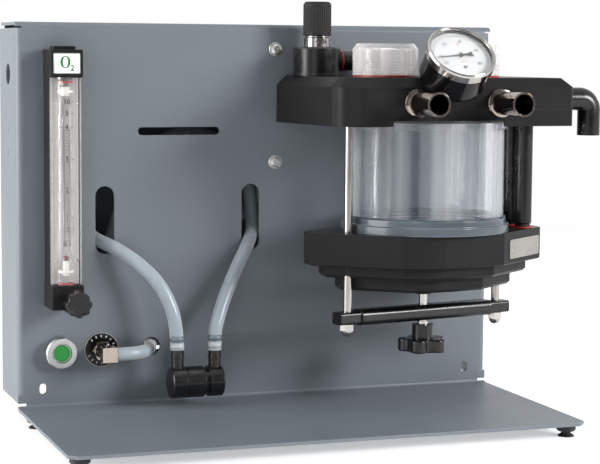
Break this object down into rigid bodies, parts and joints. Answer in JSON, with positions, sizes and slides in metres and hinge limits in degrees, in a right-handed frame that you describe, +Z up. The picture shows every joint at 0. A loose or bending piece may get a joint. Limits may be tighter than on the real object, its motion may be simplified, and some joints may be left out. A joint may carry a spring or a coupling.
{
  "type": "inhalation_anesthesia_machine",
  "caption": "Compact bench or wall inhalation anesthesia machine: folded panel and shelf, oxygen flowmeter, flush button, vaporizer hoses, breathing head with gauge and clear absorber canister",
  "frame": {"origin": "middle of the footprint on the bench, hoses left out", "axes": "+X to the right across the panel, +Y back, +Z up"},
  "size_m": [0.5498, 0.301, 0.3968],
  "materials": {
    "satin_blue_grey": "satin powder coat",
    "foot_rubber": "matt",
    "zinc_steel": "plated",
    "black_anodised": "satin black anodised",
    "black_plastic": "fine moulded grain",
    "clear_acrylic": "clear",
    "tube_glass": "clear",
    "float_red": "polished",
    "white_nylon": "satin",
    "white_label": "satin print",
    "polished_steel": "fine polish",
    "bezel_steel": "turned",
    "button_green": "satin",
    "brass_plain": "machined",
    "nickel": "nickel plated",
    "hose_milky": "translucent silicone",
    "tube_nylon": "translucent",
    "seal_red": "matt",
    "gasket_dark": "matt",
    "dial_white": "matt print",
    "pointer_black": "matt",
    "clear_canister": "clear",
    "smoke_plastic": "translucent grey",
    "plate_steel": "brushed",
    "stainless": "ground",
    "spring_steel": "bright"
  },
  "bodies": {
    "machine": {"chassis_panel": "satin_blue_grey", "rubber_feet": "foot_rubber", "rear_cover": "satin_blue_grey", "rear_stiffener": "zinc_steel", "panel_fasteners": "zinc_steel", "flowmeter_body": "black_anodised", "flowmeter_housing": "clear_acrylic", "flowmeter_tube": "tube_glass", "float_stops": "white_nylon", "flowmeter_label": "white_label", "flush_bezel": "bezel_steel", "flush_valve_body": "brass_plain", "flush_spring": "spring_steel", "outlet_label_disc": "black_plastic", "outlet_bulkhead": "nickel", "outlet_elbow": "nickel", "fresh_gas_hose": "hose_milky", "left_hose": "hose_milky", "right_hose": "hose_milky", "left_taper_elbow": "black_plastic", "right_taper_elbow": "black_plastic", "rear_barb_elbows": "brass_plain", "oxygen_inlet": "brass_plain", "gas_manifold": "black_anodised", "oxygen_tubes": "tube_nylon", "head_lower_block": "black_anodised", "head_upper_block": "black_anodised", "breathing_ports": "nickel", "valve_domes": "clear_acrylic", "apl_body": "black_anodised", "apl_ring": "polished_steel", "scavenge_outlet": "black_anodised", "red_seals": "seal_red", "gauge_case": "black_plastic", "gauge_bezel": "polished_steel", "gauge_glass": "tube_glass", "gauge_dial": "dial_white", "canister_gasket": "gasket_dark", "transfer_tubes": "black_anodised", "tie_rods": "stainless", "acorn_nuts": "polished_steel", "clamp_bar": "black_anodised"},
    "flow_control": {"flowmeter_knob": "black_plastic"},
    "float_body": {"flow_float": "float_red"},
    "flush_plunger": {"flush_button": "button_green"},
    "relief_knob": {"apl_knob": "black_plastic"},
    "relief_cup": {"apl_spring_cup": "polished_steel", "apl_spring": "spring_steel"},
    "relief_disc": {"apl_disc": "polished_steel"},
    "inspiratory_leaf": {"inspiratory_disc": "white_nylon"},
    "expiratory_leaf": {"expiratory_disc": "white_nylon"},
    "pointer": {"gauge_pointer": "pointer_black"},
    "bag_arm": {"bag_elbow": "black_anodised"},
    "absorber": {"canister_cylinder": "clear_canister", "canister_base_ring": "smoke_plastic", "absorber_base": "black_anodised", "nameplate": "plate_steel"},
    "pad": {"clamp_pad": "black_plastic"},
    "clamp_drive": {"clamp_screw": "polished_steel", "clamp_knob": "black_plastic"}
  },
  "joints": [
    {"name": "flow_knob_turn", "type": "hinge", "parent": "machine", "child": "flow_control", "pos_m": [-0.2304, 0.0205, 0.1188], "axis": [0, -1, 0], "range_deg": [0, 720]},
    {"name": "float_rise", "type": "slide", "parent": "machine", "child": "float_body", "axis": [0, 0, 1], "range_m": [0, 0.146]},
    {"name": "flush_press", "type": "slide", "parent": "machine", "child": "flush_plunger", "axis": [0, 1, 0], "range_m": [0, 0.004], "stiffness_N_per_m": 1500, "springref_m": -0.004},
    {"name": "relief_knob_turn", "type": "hinge", "parent": "machine", "child": "relief_knob", "pos_m": [0.0101, 0.0435, 0.382], "axis": [0, 0, -1], "range_deg": [0, 300]},
    {"name": "relief_cup_travel", "type": "slide", "parent": "machine", "child": "relief_cup", "axis": [0, 0, -1], "range_m": [0, 0.004], "deforming": ["apl_spring"]},
    {"name": "relief_disc_lift", "type": "slide", "parent": "machine", "child": "relief_disc", "axis": [0, 0, 1], "range_m": [0, 0.003]},
    {"name": "inspiratory_leaf_lift", "type": "slide", "parent": "machine", "child": "inspiratory_leaf", "axis": [0, 0, 1], "range_m": [0, 0.004]},
    {"name": "expiratory_leaf_lift", "type": "slide", "parent": "machine", "child": "expiratory_leaf", "axis": [0, 0, 1], "range_m": [0, 0.004]},
    {"name": "pointer_turn", "type": "hinge", "parent": "machine", "child": "pointer", "pos_m": [0.0991, -0.0956, 0.3503], "axis": [0, 0.7071, -0.7071], "range_deg": [-30, 240], "stiffness_Nm_per_rad": 0.005},
    {"name": "bag_arm_swivel", "type": "hinge", "parent": "machine", "child": "bag_arm", "pos_m": [0.2151, -0.0295, 0.306], "axis": [1, 0, 0], "range_deg": [-90, 90]},
    {"name": "absorber_drop", "type": "slide", "parent": "machine", "child": "absorber", "axis": [0, 0, -1], "range_m": [0, 0.009]},
    {"name": "pad_travel", "type": "slide", "parent": "machine", "child": "pad", "axis": [0, 0, -1], "range_m": [0, 0.009]},
    {"name": "clamp_screw_turn", "type": "hinge", "parent": "pad", "child": "clamp_drive", "pos_m": [0.0981, -0.0165, 0.087], "axis": [0, 0, -1], "range_deg": [0, 1620]}
  ],
  "couplings": [
    {"joint": "clamp_screw_turn", "follows": "absorber_drop", "rad_per_m": 3141},
    {"joint": "pad_travel", "follows": "absorber_drop", "ratio": 1},
    {"joint": "relief_knob_turn", "follows": "relief_cup_travel", "rad_per_m": 1308}
  ]
}
